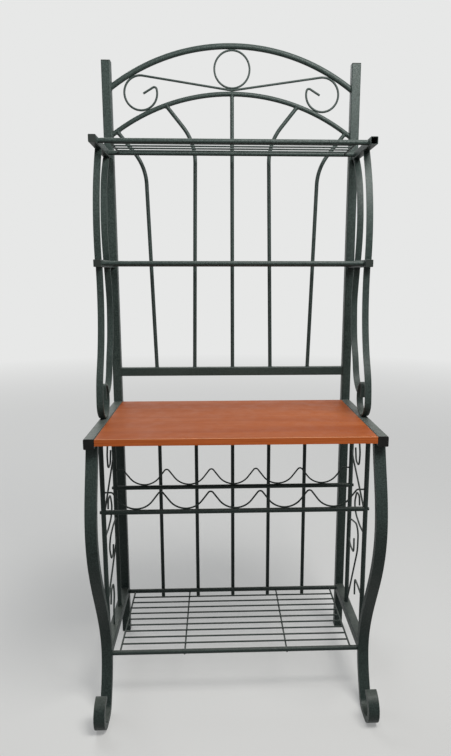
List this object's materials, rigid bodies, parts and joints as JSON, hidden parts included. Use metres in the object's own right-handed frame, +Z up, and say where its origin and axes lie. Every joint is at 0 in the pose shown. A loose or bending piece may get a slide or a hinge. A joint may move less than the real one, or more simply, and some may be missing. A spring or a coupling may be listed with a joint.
{
  "type": "bakers rack",
  "caption": "Open steel bakers rack with an arched back, wire shelves on curved side strips, a wooden worktop, a wine rack and a wire bottom shelf.",
  "frame": {"origin": "on the floor, at the middle of the overall width and depth", "axes": "+Z is up; +X runs to the right-hand side as seen from the front; +Y runs from the open front to the arched back"},
  "size_m": [0.73, 0.4774, 1.7992],
  "materials": {
    "frame_green": "dark green hammered powder coat",
    "bolt_green": "dark green powder coat",
    "worktop_wood": "satin orange-brown laminate",
    "cap_plastic": "moulded dark green-grey plastic",
    "fastener_steel": "zinc plated"
  },
  "bodies": {
    "root": {"arch_ring": "frame_green", "arch_scroll_left": "frame_green", "arch_scroll_right": "frame_green", "back_spindle_centre": "frame_green", "back_spindle_inner_left": "frame_green", "back_spindle_inner_right": "frame_green", "back_spindle_outer_left": "frame_green", "back_spindle_outer_right": "frame_green", "front_leg_left": "frame_green", "front_leg_right": "frame_green", "lower_arch": "frame_green", "lower_back_bars": "frame_green", "lower_back_rail": "frame_green", "lower_front_strip_left": "frame_green", "lower_front_strip_right": "frame_green", "lower_rear_strip_left": "frame_green", "lower_rear_strip_right": "frame_green", "lower_shelf_end_bars": "frame_green", "lower_shelf_front_bar": "frame_green", "lower_shelf_rail_left": "frame_green", "lower_shelf_rail_right": "frame_green", "lower_shelf_rear_bar": "frame_green", "lower_shelf_wires": "frame_green", "rear_leg_left": "frame_green", "rear_leg_right": "frame_green", "second_shelf_end_bars": "frame_green", "second_shelf_front_bar": "frame_green", "second_shelf_rail_left": "frame_green", "second_shelf_rail_right": "frame_green", "second_shelf_rear_bar": "frame_green", "second_shelf_wires": "frame_green", "side_scrolls_left": "frame_green", "side_scrolls_right": "frame_green", "side_uprights_left": "frame_green", "side_uprights_right": "frame_green", "top_arch": "frame_green", "top_shelf_end_bars": "frame_green", "top_shelf_front_bar": "frame_green", "top_shelf_rail_left": "frame_green", "top_shelf_rail_right": "frame_green", "top_shelf_rear_bar": "frame_green", "top_shelf_wires": "frame_green", "tube_end_caps": "cap_plastic", "upper_back_rail": "frame_green", "upper_front_strip_left": "frame_green", "upper_front_strip_right": "frame_green", "upper_post_left": "frame_green", "upper_post_right": "frame_green", "upper_rear_strip_left": "frame_green", "upper_rear_strip_right": "frame_green", "wine_bar_front": "frame_green", "wine_bar_rear": "frame_green", "wine_bolts": "bolt_green", "wine_wave_front": "frame_green", "wine_wave_rear": "frame_green", "worktop_board": "worktop_wood", "worktop_rail_left": "frame_green", "worktop_rail_right": "frame_green", "worktop_screws": "fastener_steel", "worktop_tabs": "frame_green"}
  },
  "joints": []
}
